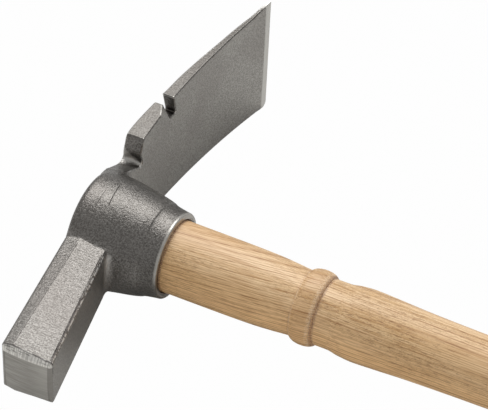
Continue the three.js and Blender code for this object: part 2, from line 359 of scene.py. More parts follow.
def blade_plate(x, y, z):
    """The blade's two faces, with the bevels that make its cutting edge."""
    inner = (x - inner_face_x(y)) / np.hypot(1, inner_face_slope(y))
    ground = inner + FACE_BEVEL_TILT * (y - face_bevel_y(z))
    back = (back_face(y) - x) / back_face.steepness(y)
    tip_x = BLADE_FACE_X + BLADE_SWEEP - CUTTING_EDGE_WIDTH
    bevel = line_side(y, x, (BACK_BEVEL_Y, BACK_BEVEL_X), (BLADE_TIP_Y, tip_x))
    return np.maximum(np.maximum(inner, ground), np.maximum(back, -bevel))


def upper_edge_z(y):
    shoulder = SHOULDER_Z + SHOULDER_SLOPE * (y - SHOULDER_Y)
    blade = ROOT_HALF_WIDTH + FLARE * (y - FLARE_START_Y)
    kick_y = BLADE_TIP_Y - UPPER_CORNER_LENGTH
    rise = UPPER_CORNER_Z - ROOT_HALF_WIDTH - FLARE * (BLADE_TIP_Y - FLARE_START_Y)
    kick = rise * np.maximum(y - kick_y, 0) / UPPER_CORNER_LENGTH
    slot_y = (SLOT_NEAR[0][0] + SLOT_FAR[0][0]) / 2
    return np.where(y < slot_y, shoulder, blade + kick)


def hollow_field(x, y, z):
    waist = HOLLOW_WAIST * np.exp(-(((z - HOLLOW_WAIST_Z) / HOLLOW_WAIST_SIZE) ** 2))
    wall = y - HOLLOW_WALL_Y + waist
    at_y, at_z, slope = HOLLOW_FLOOR
    floor = (at_z + slope * (y - at_y) - z) / math.hypot(1, slope)
    inner, outer = HOLLOW_ROUND
    radius = inner + (outer - inner) * smooth_step(BLADE_FACE_X, BLADE_FACE_X - HOLLOW_ROUND_DEPTH, x)
    return round_cut(wall, floor, radius)


def slot_field(y, z):
    walls = np.maximum(-line_side(y, z, *SLOT_NEAR), line_side(y, z, *SLOT_FAR))
    return round_cut(walls, SLOT_BOTTOM_Z - z, SLOT_ROUND)


def slot_opening_field(x, y, z):
    """What the wide bevel takes off the slot's near corner."""
    px, py, pz = SLOT_BEVEL_POINT
    nx, ny, nz = SLOT_BEVEL_NORMAL
    beyond = nx * (x - px) + ny * (y - py) + nz * (z - pz)
    return np.maximum(np.maximum(-beyond, line_side(y, z, *SLOT_FAR)), SLOT_BEVEL_BOTTOM_Z - z)


def blade_field(x, y, z):
    worn = BLADE_EDGE * smooth_step(BLADE_TIP_Y, BLADE_TIP_Y - BLADE_EDGE_FADE, y)
    lower = round_cut(-z - lower_edge(y), y - BLADE_TIP_Y, LOWER_CORNER_ROUND)
    blade = bevel_cut(blade_plate(x, y, z), lower, worn)
    top = bevel_cut(z - upper_edge_z(y), -hollow_field(x, y, z), TOOTH_BEVEL)
    blade = bevel_cut(blade, top, worn)
    blade = bevel_cut(blade, -slot_field(y, z), BLADE_EDGE)
    blade = np.maximum(blade, -slot_opening_field(x, y, z))
    return np.maximum(blade, -y)


def head_field(points):
    x, y, z = points.T
    over, beside = POLL_FILLET
    fillet = over + (beside - over) * smooth_step(*WIDE_FILLET_Z, z) * smooth_step(*WIDE_FILLET_X, x)
    body = round_union(eye_field(x, y, z), poll_field(x, y, z), fillet)
    body = round_union(body, blade_field(x, y, z), BLADE_FILLET)
    return np.maximum(body, -bore_field(x, y, z))


# ---------- meshing a field ----------
def planes(anchors, counts):
    """Lattice planes of one direction at each station: evenly spaced between each pair of anchors,
    and moved by half a cell so that the anchors come in the middle of cells."""
    anchors = np.stack(np.broadcast_arrays(*anchors), -1)
    middles = [anchors[..., :1]]
    for i, count in enumerate(counts):
        share = np.arange(1, count + 1) / count
        middles.append(anchors[..., i:i + 1] + share * (anchors[..., i + 1:i + 2] - anchors[..., i:i + 1]))
    middles = np.concatenate(middles, -1)
    return (middles[..., 1:] + middles[..., :-1]) / 2


def zones(ys, poll, eye, blade):
    """Anchors that follow the poll, then the eye, then the blade."""
    to_eye, to_blade = smooth_step(*LATTICE_TO_EYE, ys), smooth_step(*LATTICE_TO_BLADE, ys)
    blended = []
    for p, e, b in zip(poll, eye, blade):
        first = p + to_eye * (e - p)
        blended.append(first + to_blade * (b - first))
    return blended


def lattice_y():
    """Planes across the head, closer together at its two ends, the hollow and the slot."""
    return planes([np.array(y) for y in LATTICE_Y], CELLS_Y)


def lattice_x(ys):
    """Planes that follow the poll's long edges and the blade's two faces."""
    fine, out = LATTICE_FINE, LATTICE_OUT
    left, ridge, right = poll_edges(ys)
    poll = [left - out, left - fine, left + fine, ridge, right - fine, right + fine, right + out]
    back, inner = back_face(ys), inner_face_x(ys)
    near = np.minimum(fine, 0.35 * (inner - back))
    blade = [back - out, back - near, back + near, (back + inner) / 2, inner - near, inner + near]
    blade += [inner + gap for gap in BESIDE_BLADE]
    return planes(zones(ys, poll + MOUTH_PLANES, EYE_PLANES_X, blade), CELLS_X)


def lattice_z(xs, ys):
    """Planes that follow the poll's roof and the blade's two long edges."""
    fine, out = LATTICE_FINE, LATTICE_OUT
    left, ridge, right = poll_edges(ys)
    roof = poll_roof(np.clip(xs, left, right), left, ridge, right)
    poll = [-roof - gap for gap in ABOVE_POLL[::-1]] + [roof + gap for gap in ABOVE_POLL]
    low, high = -lower_edge(ys), upper_edge_z(ys)
    blade = [low - out, low - fine, low + fine, *BLADE_MIDDLE, high - fine, high + fine, high + out]
    return planes(zones(ys, poll, EYE_PLANES_Z, blade), CELLS_Z)


def head_lattice():
    """Lattice points round the head, in planes that follow its edges."""
    ys = lattice_y()
    xs = lattice_x(ys).T
    zs = lattice_z(xs, ys[None, :])
    grid = np.empty((*xs.shape, zs.shape[-1], 3))
    grid[..., 0] = xs[:, :, None]
    grid[..., 1] = ys[None, :, None]
    grid[..., 2] = zs
    # between the slot's walls the planes lean as the walls do
    slot_y = (SLOT_NEAR[0][0] + SLOT_FAR[1][0]) / 2
    lean = SLOT_LEAN * smooth_step(*SLOT_LEAN_Y, np.abs(ys - slot_y)) * (ys < BLADE_TIP_Y)
    grid[..., 1] += lean[None, :, None] * (zs - SLOT_FAR[0][1]) * smooth_step(*SLOT_LEAN_Z, zs)
    return grid


def in_parts(field, points, size=400_000):
    """The field at many points, a part at a time to save memory."""
    return np.concatenate([field(points[i:i + size]) for i in range(0, len(points), size)])


def gradient(field, points, reach=0.02):
    """Unit normals of the field."""
    columns = []
    for axis in np.eye(3) * reach:
        columns.append(in_parts(field, points + axis) - in_parts(field, points - axis))
    steep = np.stack(columns, 1)
    return steep / np.maximum(np.linalg.norm(steep, axis=1, keepdims=True), 1e-12)


def crossing_points(field, start, end, value_start, value_end, rounds=5):
    """Where the field is zero between start and end."""
    low, high = np.zeros(len(start)), np.ones(len(start))
    at_low, at_high = value_start.copy(), value_end.copy()
    for turn in range(rounds):
        share = at_low / (at_low - at_high)
        if turn % 2:
            share = np.full_like(share, 0.5)
        t = low + np.clip(share, 0.02, 0.98) * (high - low)
        value = field(start + t[:, None] * (end - start))
        left = (value < 0) == (at_low < 0)
        low, at_low = np.where(left, t, low), np.where(left, value, at_low)
        high, at_high = np.where(left, high, t), np.where(left, at_high, value)
    t = low + at_low / (at_low - at_high) * (high - low)
    return start + t[:, None] * (end - start)


def surface_of(field, grid):
    """Dual contouring. Each lattice cell that the surface crosses gets one point, where the
    tangent planes at its crossings meet, so edges stay sharp; each crossed lattice edge gets
    one quad."""
    shape = np.array(grid.shape[:3])
    values = in_parts(field, grid.reshape(-1, 3)).reshape(shape)
    quads, cell_of, hit_points, hit_normals = [], [], [], []
    for axis in range(3):
        near = [slice(None)] * 3
        far = [slice(None)] * 3
        near[axis], far[axis] = slice(0, -1), slice(1, None)
        a, b = values[tuple(near)], values[tuple(far)]
        index = np.argwhere((a < 0) != (b < 0))
        ahead = index + np.eye(3, dtype=int)[axis]
        start, end = grid[tuple(index.T)], grid[tuple(ahead.T)]
        value_start, value_end = values[tuple(index.T)], values[tuple(ahead.T)]
        hits = crossing_points(field, start, end, value_start, value_end)
        normals = gradient(field, hits)
        u, v = (axis + 1) % 3, (axis + 2) % 3
        ring = []
        for back_u, back_v in ((1, 1), (0, 1), (0, 0), (1, 0)):
            cell = index.copy()
            cell[:, u] -= back_u
            cell[:, v] -= back_v
            ring.append(np.ravel_multi_index(cell.T, shape))
        ring = np.stack(ring, 1)
        leaving = value_start < 0
        quads.append(np.where(leaving[:, None], ring, ring[:, ::-1]))
        cell_of.append(ring.T.ravel())
        hit_points.append(np.tile(hits, (4, 1)))
        hit_normals.append(np.tile(normals, (4, 1)))
    cells, owner = np.unique(np.concatenate(cell_of), return_inverse=True)
    points = cell_points(grid, cells, owner, np.concatenate(hit_points), np.concatenate(hit_normals))
    faces = np.searchsorted(cells, np.concatenate(quads)).tolist()
    return points, faces


def cell_points(grid, cells, owner, hits, normals, flat=0.1):
    """The point of each cell: least squares on its tangent planes, kept inside the cell."""
    count = np.bincount(owner)
    centre = np.stack([np.bincount(owner, hits[:, k]) for k in range(3)], 1) / count[:, None]
    offset = np.einsum("ij,ij->i", normals, hits - centre[owner])
    matrix = np.empty((len(cells), 3, 3))
    vector = np.empty((len(cells), 3))
    for r in range(3):
        vector[:, r] = np.bincount(owner, normals[:, r] * offset)
        for c in range(3):
            matrix[:, r, c] = np.bincount(owner, normals[:, r] * normals[:, c])
    size, direction = np.linalg.eigh(matrix)
    usable = size > flat * size[:, 2:]
    share = np.where(usable, 1 / np.where(usable, size, 1), 0)
    along = np.einsum("nij,ni->nj", direction, vector) * share
    points = centre + np.einsum("nij,nj->ni", direction, along)
    corner = np.stack(np.unravel_index(cells, grid.shape[:3]), 1)
    corners = [grid[tuple((corner + np.array(step)).T)] for step in np.ndindex(2, 2, 2)]
    return np.clip(points, np.min(corners, 0), np.max(corners, 0))


def add_object(name, data):
    piece = bpy.data.objects.new(name, data)
    bpy.context.scene.collection.objects.link(piece)
    return piece


def mesh_object(name, points, faces, sharp_angle=None):
    """An object from points in mm round the handle's axis, its edges sharp above the angle."""
    mesh = bpy.data.meshes.new(name)
    mesh.from_pydata((points * MM + np.array(AXIS)).tolist(), [], faces)
    mesh.polygons.foreach_set("use_smooth", np.ones(len(mesh.polygons), bool))
    if sharp_angle is not None:
        mesh.set_sharp_from_angle(angle=math.radians(sharp_angle))
    return add_object(name, mesh)


def shade_from_field(mesh, field, points, faces, inward=0.15):
    """Corner normals taken from the field, just inside each face, so that edges shade crisply."""
    corners = points[np.array(faces)]
    centre = corners.mean(1, keepdims=True)
    inside = (corners + inward * (centre - corners)).reshape(-1, 3)
    mesh.normals_split_custom_set(gradient(field, inside, 0.01).tolist())


# ---------- the head's own attributes, which its material reads ----------
def head_attributes(points):
    """How worn, creased, ground and smooth the steel is at each point, from 0 to 1. How creased it is sets
    the shade the material paints in hollows; how worn sets lighter edges with a painted highlight on them.
    """
    x, y, z = points.T
    normals = gradient(head_field, points)
    rim, hollow, square_edge = 0.7, 2.5, 0.29
    # convex edges: lighter worn metal, with a painted highlight along them
    worn = (1 + in_parts(head_field, points - rim * normals) / rim) / square_edge
    # how deep in a hollow a point lies; the material paints shade by it
    crease_shade = 1 - in_parts(head_field, points + hollow * normals) / hollow
    face_end = (y < GROUND_TO_Y) & (normals[:, 1] < -0.45)
    cutting = (y > face_bevel_y(z)) | ((y > BACK_BEVEL_Y) & (normals[:, 0] < 0))
    annulus = (x > EYE_MOUTH_X - GROUND_RIM) & (np.hypot(y, z) < GROUND_RIM_RADIUS)
    blade_faces = smooth_step(0.75, 0.95, np.abs(normals[:, 0])) * (y > SMOOTH_BLADE_FROM_Y)
    poll_side = smooth_step(0.8, 0.95, normals[:, 0]) * (y < SMOOTH_POLL_TO_Y)
    return {
        "worn": np.clip(worn, 0, 1),
        "crease_shade": np.clip(crease_shade, 0, 1),
        "ground": face_end | cutting | annulus,
        "smooth": np.clip(blade_faces + poll_side, 0, 1),
    }


def store(piece, attributes):
    for name, values in attributes.items():
        layer = piece.data.attributes.new(name, "FLOAT", "POINT")
        layer.data.foreach_set("value", np.asarray(values, np.float32))


# ---------- node trees ----------
def shade(red, green, blue):
    """An sRGB colour, 0 to 255, as the linear colour that a node takes."""
    def linear(value):
        value /= 255
        return value / 12.92 if value <= 0.04045 else ((value + 0.055) / 1.055) ** 2.4
    return (linear(red), linear(green), linear(blue), 1)


class Graph:
    """A material's nodes. A value given for an input is a number, a colour or another's output."""

    def __init__(self, name):
        self.material = bpy.data.materials.new(name)
        self.material.use_nodes = True
        self.tree = self.material.node_tree
        self.tree.nodes.clear()

    def add(self, kind, settings=None, output=0, **inputs):
        node = self.tree.nodes.new("ShaderNode" + kind)
        for key, value in (settings or {}).items():
            setattr(node, key, value)
        for key, value in inputs.items():
            self.plug(node.inputs[key.replace("_", " ")], value)
        return node.outputs[output]

    def plug(self, socket, value):
        """Links another node's output to the socket, or sets it."""
        if isinstance(value, bpy.types.NodeSocket):
            self.tree.links.new(value, socket)
        else:
            socket.default_value = value

    def place(self, scale=(1, 1, 1), shift=(0, 0, 0)):
        """Position on the object, in metres, stretched by scale."""
        position = self.add("TexCoord", output="Object")
        return self.add("Mapping", Vector=position, Scale=scale, Location=shift)

    def axes(self):
        """X, Y and Z in mm round the handle's axis."""
        place = self.place((1 / MM, 1 / MM, 1 / MM), (0, -AXIS_Y, 0))
        return tuple(self.add("SeparateXYZ", Vector=place).node.outputs)

    def within(self, value, low, high, soft):
        """1 where value lies from low to high, and fading to 0 over soft on both sides."""
        rise = self.between(value, low - soft, low)
        return self.times(rise, self.between(value, high, high + soft, 1.0, 0.0))

    def stroke(self, a, b, start, end, half_width):
        """A thin line from start to end in the plane of the coordinates a and b, in mm."""
        length = math.dist(start, end)
        da, db = (end[0] - start[0]) / length, (end[1] - start[1]) / length
        a, b = self.math("SUBTRACT", a, start[0]), self.math("SUBTRACT", b, start[1])
        along = self.math("ADD", self.times(a, da), self.times(b, db))
        across = self.math("SUBTRACT", self.times(b, da), self.times(a, db))
        off = self.math("ABSOLUTE", across)
        line = self.between(off, half_width * 0.5, half_width * 1.5, 1.0, 0.0)
        return self.times(line, self.within(along, 0, length, 1.0))

    def attribute(self, name):
        return self.add("Attribute", {"attribute_name": name}, output="Fac")

    def noise(self, scale, detail, rough, vector=None, distortion=0):
        vector = vector or self.place()
        return self.add("TexNoise", Vector=vector, Scale=scale, Detail=detail, Roughness=rough,
                        Distortion=distortion)

    def math(self, operation, a, b=0.0):
        node = self.tree.nodes.new("ShaderNodeMath")
        node.operation = operation
        self.plug(node.inputs[0], a)
        self.plug(node.inputs[1], b)
        return node.outputs[0]

    def times(self, first, *others):
        """The product of the values."""
        for value in others:
            first = self.math("MULTIPLY", first, value)
        return first

    def most(self, first, *others):
        """The largest of the values."""
        for value in others:
            first = self.math("MAXIMUM", first, value)
        return first

    def distance(self, a, b):
        return self.math("SQRT", self.math("ADD", self.times(a, a), self.times(b, b)))

    def between(self, value, low, high, to_low=0.0, to_high=1.0):
        """value, remapped smoothly from low..high to to_low..to_high."""
        node = self.tree.nodes.new("ShaderNodeMapRange")
        node.interpolation_type = "SMOOTHSTEP"
        for socket, given in zip(node.inputs[:5], (value, low, high, to_low, to_high)):
            self.plug(socket, given)
        return node.outputs[0]

    def fade(self, mask, least=0.0):
        """1 where the mask is 0, and least where it is 1."""
        return self.between(mask, 0, 1, 1.0, least)

    def tint(self, base, colour, *masks):
        """base, covered with an sRGB colour as far as the product of the masks."""
        return self.mix(self.times(*masks), base, shade(*colour))

    def mix(self, share, a, b):
        node = self.tree.nodes.new("ShaderNodeMix")
        node.data_type = "RGBA"
        self.plug(node.inputs[0], share)
        self.plug(node.inputs[6], a)
        self.plug(node.inputs[7], b)
        return node.outputs[2]

    def bump(self, height, distance, strength, normal=None):
        inputs = {"Height": height, "Distance": distance, "Strength": strength}
        if normal is not None:
            inputs["Normal"] = normal
        return self.add("Bump", **inputs)

    def show(self, shader):
        out = self.tree.nodes.new("ShaderNodeOutputMaterial")
        self.tree.links.new(shader, out.inputs["Surface"])
        return self.material

    def finish(self, constants, **inputs):
        """Ends in a Principled shader. Constants go straight on its sockets."""
        node = self.tree.nodes.new("ShaderNodeBsdfPrincipled")
        for key, value in constants.items():
            node.inputs[key].default_value = value
        for key, value in inputs.items():
            self.plug(node.inputs[key.replace("_", " ")], value)
        return self.show(node.outputs[0])


# ---------- forged steel ----------
def worn_and_highlit_edges(g, at, mottle, low_rim, wood_gap_shade):
    """Bright edges, lighter worn metal and partly a painted highlight: none on the striking end or in the
    painted shade by the wood, and fewer at the slot's near corner and on the lower rim of the mouth, which
    is painted darker."""
    y = at[1]
    worn = g.between(g.math("ADD", g.attribute("worn"), g.times(mottle, 0.5)), 0.6, 1.1)
    past_end = g.between(y, POLL_CHAMFER + 0.8 - AXIS_Y, POLL_CHAMFER + 1.6 - AXIS_Y)
    slot_corner = g.within(y, SLOT_NEAR[0][0] - 3, SLOT_NEAR[0][0] + 1.2, 1.5)
    return g.times(worn, past_end, g.fade(slot_corner, 0.3), g.fade(low_rim, 0.35), g.fade(wood_gap_shade))


def bare_steel(g, grain, smooth, on_eye):
    """Sandy grey, lighter on the smooth faces and darker on the eye."""
    speck = g.between(grain, 0.3, 0.7)
    sandy = g.mix(speck, shade(97, 94, 90), shade(149, 146, 142))
    plain = g.mix(speck, shade(124, 121, 116), shade(172, 169, 164))
    cloud = g.noise(28, 2, 0.5)
    base = g.tint(g.mix(smooth, sandy, plain), (118, 111, 107), g.between(cloud, 0.4, 0.65, 0.0, 0.25))
    return g.tint(base, (80, 77, 74), on_eye, 0.38)


def blade_top(g, at, smooth, worn):
    """The strip along the blade's upper edge, but not its worn edges; stronger towards the tip."""
    y, z = at[1:]
    strip = g.times(g.between(y, *BLADE_TOP_Y), g.between(z, *BLADE_TOP_Z))
    off_faces = g.between(smooth, 0, 0.5, 1.0, 0.0)
    return g.times(strip, off_faces, g.between(worn, 0.1, 0.5, 1.0, 0.0), g.between(y, 60, 125, 0.5, 0.85))


def cross_marks(g, at):
    """Short brush marks across the poll's top."""
    y, z = at[1:]
    lines = g.noise(1, 2, 0.6, g.place((170, 2400, 600)))
    top = g.times(g.between(y, *BRUSHED_TOP_Y), g.between(z, *BRUSHED_TOP_Z))
    return g.times(g.between(lines, 0.54, 0.64), top)


def striking_end(g, at):
    """Lines from brushing across the face and from filing down the upper chamfer, and the colour they give,
    with painted light: the upper chamfer partly painted lighter, the face painted lighter towards +X, and
    painted shade on the side chamfers.
    """
    x, y, z = at
    face_lines = g.noise(1, 3, 0.7, g.place((70, 300, 1600)))
    down_lines = g.noise(1, 2, 0.6, g.place((2600, 160, 160)))
    at_end = g.between(y, POLL_CHAMFER + 1 - AXIS_Y, POLL_CHAMFER - AXIS_Y)
    chamfer = g.times(g.between(z, FACE_TOP - 0.1, FACE_TOP + 0.3), at_end)
    outward = g.math("ABSOLUTE", x)
    sides = g.times(g.between(outward, FACE_HALF_WIDTH, FACE_HALF_WIDTH + 0.3), at_end)
    lines = g.add("Mix", Factor=chamfer, A=face_lines, B=down_lines)
    brushed_and_painted_light = g.mix(g.between(lines, 0.32, 0.68), shade(146, 143, 137), shade(172, 169, 163))
    # painted light: the face lighter towards +X
    brushed_and_painted_light = g.tint(brushed_and_painted_light, (196, 193, 187), g.between(x, 0, FACE_HALF_WIDTH, 0.0, 0.4))
    # painted shade on the side chamfers
    brushed_and_painted_light = g.tint(brushed_and_painted_light, (118, 114, 109), sides, 0.6)
    # lighter metal where it is filed, and partly painted light
    filed_and_painted_light = g.mix(g.between(lines, 0.36, 0.64), shade(192, 189, 183), shade(244, 241, 235))
    return lines, g.mix(chamfer, brushed_and_painted_light, filed_and_painted_light)


def painted_shade_by_wood(g, at):
    """Painted shade: a dark ring inside the mouth's rim, in the gap by the wood, fading towards the top."""
    x, y, z = at
    inside = g.between(g.distance(y, z), 17.4, 16.8)
    return g.times(inside, g.between(x, EYE_MOUTH_X - 1.5, EYE_MOUTH_X - 0.5), g.between(z, 13, 6))


def painted_fillet_highlight(g, at):
    """The wide fillet between the poll's side and the eye, where a highlight is painted and no hollow
    shade.
    """
    x, y, z = at
    return g.times(g.within(x, *POLL_SIDE_X, 1.5), g.within(y, *POLL_SIDE_Y, 2), g.between(z, *POLL_SIDE_Z))


def edge_glint(g, at, pebble):
    """A broken bright line on the poll's upper edge on the handle's side."""
    x, y, z = at
    start, end = [(poll_edges(end_y)[2] - GLINT_INSET, end_y) for end_y in (GLINT_START_Y, MARK_END_Y)]
    line = g.stroke(x, y, start, end, 0.22)
    return g.times(line, g.between(z, 9, 10), g.between(pebble, 0.42, 0.55))


def die_marks(g, at, mottle):
    """The thin dark lines, fainter in places."""
    x, y, z = at
    strokes = []
    for start, end, half_width, strength in steel_marks():
        strokes.append(g.times(g.stroke(x, y, start, end, half_width), strength))
    return g.times(g.most(*strokes), g.between(z, 4, 7), g.between(mottle, 0.3, 0.5, 0.45, 1.0))


def forged_steel():
    """Bead-blasted forged steel: sandy on the eye and the poll, smoother on the blade, bright where it is
    ground or worn, with painted highlights on the worn edges and beside the poll, painted light and shade
    on the striking end, painted shade in the hollows and by the wood, and dark along the marks of the dies."""
    g = Graph("forged_steel")
    at = x, y, z = g.axes()
    grain = g.noise(1500, 2, 0.6)
    pebble = g.noise(620, 1, 0.5)
    mottle = g.noise(120, 3, 0.6)
    smooth = g.attribute("smooth")
    on_eye = g.within(y, -18, 23, 3)
    fillet = painted_fillet_highlight(g, at)
    # painted shade in the gap between the mouth's rim and the wood
    wood_gap_shade = painted_shade_by_wood(g, at)
    # the mouth's lower rim, painted darker: less ground finish and fewer bright edges there
    low_rim = g.times(g.between(x, EYE_MOUTH_X - 2.5, EYE_MOUTH_X - 1.5), g.between(z, 8, -6))
    ground = g.times(g.attribute("ground"), g.fade(low_rim, 0.2))
    worn = worn_and_highlit_edges(g, at, mottle, low_rim, wood_gap_shade)
    crease_shade = g.times(g.between(g.attribute("crease_shade"), 0.12, 0.75), g.fade(fillet))
    sandy = g.math("SUBTRACT", 1.0, g.times(g.most(smooth, ground), 0.65))
    lines, end_colour = striking_end(g, at)
    marks = die_marks(g, at, mottle)

    base = bare_steel(g, grain, smooth, on_eye)
    base = g.tint(base, (88, 85, 81), blade_top(g, at, smooth, worn))
    # ground metal, carrying the striking end's painted light and shade
    base = g.mix(g.times(ground, 0.9), base, end_colour)
    base = g.tint(base, (96, 93, 89), cross_marks(g, at), 0.7)
    # painted shade in the hollows and in the gap by the wood
    base = g.tint(base, (60, 54, 50), g.most(crease_shade, wood_gap_shade), 0.75)
    # lighter worn metal on the edges, and partly a painted highlight
    base = g.tint(base, (210, 208, 203), worn, 0.65)
    # painted highlight on the wide fillet beside the poll, stronger towards the top
    base = g.tint(base, (205, 202, 197), fillet, g.between(z, -9, 8, 0.0, 0.6))
    base = g.tint(base, (232, 230, 225), edge_glint(g, at, pebble), 0.9)
    base = g.tint(base, (44, 40, 38), marks)

    normal = g.bump(pebble, 0.0002, g.times(sandy, 0.5))
    normal = g.bump(grain, 0.0002, sandy, normal)
    normal = g.bump(lines, 0.00003, g.times(ground, 0.6), normal)
    normal = g.bump(g.math("SUBTRACT", 1.0, marks), 0.0002, 0.6, normal)
    roughness = g.math("SUBTRACT", g.between(grain, 0.25, 0.75, 0.34, 0.44), g.times(on_eye, 0.05))
    constants = {"Metallic": 0.95, "Specular IOR Level": 0.5}
    return g.finish(constants, Base_Color=base, Roughness=roughness, Normal=normal)


# ---------- ash wood ----------
def growth_lines(g, at):
    """Dark lines where the surface cuts the growth rings: strong ones, with faint ones between."""
    x, y, z = at
    rings = g.distance(g.math("SUBTRACT", y, PITH_Y), g.math("SUBTRACT", z, PITH_Z))
    run_out = g.times(g.most(g.math("SUBTRACT", BEAD_END, x), 0.0), LINE_RUN_OUT)
    wander = g.times(g.noise(1, 2, 0.5, g.place((5, 40, 40))), 5)
    rings = g.math("ADD", g.math("ADD", rings, run_out), wander)
    growth = g.noise(1, 2, 0.55, g.add("CombineXYZ", X=g.times(rings, 0.62), Y=g.times(x, 0.004)))
    lines = []
    for spacing, shift, half_width, strength in GROWTH_LINES:
        warped = g.math("ADD", g.times(rings, 1 / spacing), g.times(growth, shift))
        off = g.math("ABSOLUTE", g.math("SUBTRACT", g.math("FRACT", warped), 0.5))
        lines.append(g.times(g.between(off, half_width * 0.3, half_width, 1.0, 0.0), strength))
    broken = g.noise(1, 2, 0.6, g.place((70, 900, 900)))
    return g.times(g.most(*lines), g.between(broken, 0.36, 0.58, 0.4, 1.0))


def wood_tone_and_painted_light(g, at):
    """Uneven light wood, browner on top near the eye and round the bead, with painted light: lighter and
    warmer underneath.
    """
    x, y, z = at
    tone = g.noise(1, 2, 0.5, g.place((7, 55, 55)), 0.3)
    streak = g.noise(1, 2, 0.5, g.place((9, 420, 420)))
    base = g.mix(g.between(tone, 0.35, 0.65), shade(228, 192, 144), shade(240, 210, 169))
    base = g.tint(base, (200, 158, 109), g.between(streak, 0.38, 0.62, 0.22, 0.0))
    upward = g.math("ADD", g.times(y, 0.65), g.times(z, 0.75))
    # painted light: lighter and warmer underneath
    base = g.tint(base, (255, 206, 144), g.between(upward, 3, -13, 0.0, 0.7))
    base = g.tint(base, (186, 140, 92), g.between(upward, 4, 13), g.between(x, 66, 34), 0.3)
    return g.tint(base, (176, 130, 86), g.within(x, BEAD_START + 2, BEAD_END - 2, 3), 0.25)


def groove_dirt(g, x, speckle):
    """Dirt in the grooves beside the bead and against the eye."""
    before_bead = g.times(g.within(x, BEAD_START - 0.2, BEAD_START, 0.5), 0.25)
    after_bead = g.times(g.within(x, BEAD_END - 0.5, BEAD_END + 0.3, 1.0), 0.75)
    groove = g.most(after_bead, before_bead, g.within(x, 0, EYE_MOUTH_X + 0.2, 0.8))
    return g.times(groove, g.between(speckle, 0.38, 0.58, 0.1, 0.9))


def bead_edge_highlights(g, x, speckle):
    """Painted highlights along the bead's two edges."""
    before, after = (BEAD_START, BEAD_START + 0.4, 0.4), (BEAD_END - 1.8, BEAD_END - 1.2, 0.8)
    edges = g.most(g.within(x, *before), g.within(x, *after))
    return g.times(edges, g.between(speckle, 0.46, 0.56, 0.0, 0.4))


def ash_wood():
    """Turned ash: fine growth lines nearly along the handle, short dark pores that gather in patches, a
    satin finish, dirt in the grooves, painted light underneath and painted highlights on the bead's edges."""
    g = Graph("ash_wood")
    at = g.axes()
    fibre = g.noise(1, 3, 0.65, g.place((30, 2000, 2000)))
    pores = g.noise(1, 1, 0.5, g.place((300, 2900, 2900)))
    speckle = g.noise(1, 2, 0.6, g.place((1500, 2600, 2600)))
    patch = g.noise(1, 2, 0.5, g.place((14, 90, 90)))
    open_pores = g.times(g.between(pores, 0.56, 0.66), g.between(patch, 0.42, 0.62, 0.15, 1.0))
    flecks = g.times(g.between(speckle, 0.54, 0.64), g.between(patch, 0.46, 0.64, 0.12, 1.0))

    base = wood_tone_and_painted_light(g, at)
    base = g.tint(base, (150, 101, 56), growth_lines(g, at), 0.85)
    base = g.tint(base, (178, 131, 78), g.between(fibre, 0.38, 0.56, 0.5, 0.0))
    base = g.tint(base, (186, 147, 90), g.between(patch, 0.45, 0.68, 0.0, 0.3))
    base = g.tint(base, (150, 106, 60), flecks, 0.45)
    base = g.tint(base, (134, 92, 54), open_pores, 0.6)
    base = g.tint(base, (126, 92, 78), groove_dirt(g, at[0], speckle))
    # painted highlights on the bead's edges
    base = g.tint(base, (246, 224, 194), bead_edge_highlights(g, at[0], speckle))

    normal = g.bump(g.math("SUBTRACT", 1.0, open_pores), 0.00008, 0.5)
    normal = g.bump(fibre, 0.00006, 0.6, normal)
    roughness = g.between(fibre, 0.3, 0.7, 0.4, 0.52)
    return g.finish({"Specular IOR Level": 0.5}, Base_Color=base, Roughness=roughness, Normal=normal)


# ---------- the wedges' materials ----------
def wedge_wood():
    """Sawn beech with short dark flecks."""
    g = Graph("wedge_wood")
    fibre = g.noise(1, 3, 0.6, g.place((120, 1400, 1400)))
    fleck = g.noise(1, 2, 0.5, g.place((500, 3000, 900)))
    base = g.mix(g.between(fibre, 0.3, 0.7), shade(168, 120, 78), shade(206, 160, 112))
    base = g.tint(base, (112, 70, 42), g.between(fleck, 0.56, 0.7, 0.0, 0.7))
    normal = g.bump(fibre, 0.0001, 0.7)
    roughness = g.between(fibre, 0.3, 0.7, 0.6, 0.75)
    return g.finish({"Specular IOR Level": 0.3}, Base_Color=base, Roughness=roughness, Normal=normal)


def wedge_steel():
    """Rolled steel with dark scale and a little rust in places."""
    g = Graph("wedge_steel")
    scale = g.noise(900, 4, 0.6)
    rust = g.noise(260, 3, 0.6)
    base = g.mix(g.between(scale, 0.35, 0.65), shade(92, 90, 88), shade(150, 148, 145))
    base = g.tint(base, (110, 74, 52), g.between(rust, 0.55, 0.7, 0.0, 0.5))
    normal = g.bump(scale, 0.0001, 0.6)
    roughness = g.between(scale, 0.3, 0.7, 0.38, 0.6)
    return g.finish({"Metallic": 0.9}, Base_Color=base, Roughness=roughness, Normal=normal)


# ---------- head ----------
def make_head(material):
    points, faces = surface_of(head_field, head_lattice())
    piece = mesh_object("forged_head", points, faces)
    shade_from_field(piece.data, head_field, points, faces)
    store(piece, head_attributes(points))
    piece.data.materials.append(material)
    return piece


# ---------- handle ----------
def handle_radius(x):
    """A tapered tenon in the eye, then the shaft with its bead."""
    arc = np.sqrt(np.maximum(1 - ((x - BEAD_MIDDLE) / BEAD_HALF) ** 2, 0))
    bead = np.where(arc > 0, BEAD_NECK + (BEAD_CROWN - BEAD_NECK) * arc, 0)
    taper = (x - HANDLE_TOP_X) / (EYE_MOUTH_X - HANDLE_TOP_X)
    tenon = TENON_TOP + taper * (TENON_MOUTH - TENON_TOP)
    chamfer = np.minimum(x - HANDLE_TOP_X - TOP_CHAMFER, 0)
    return np.where(x < EYE_MOUTH_X, tenon + chamfer, np.maximum(shaft_radius(x), bead))


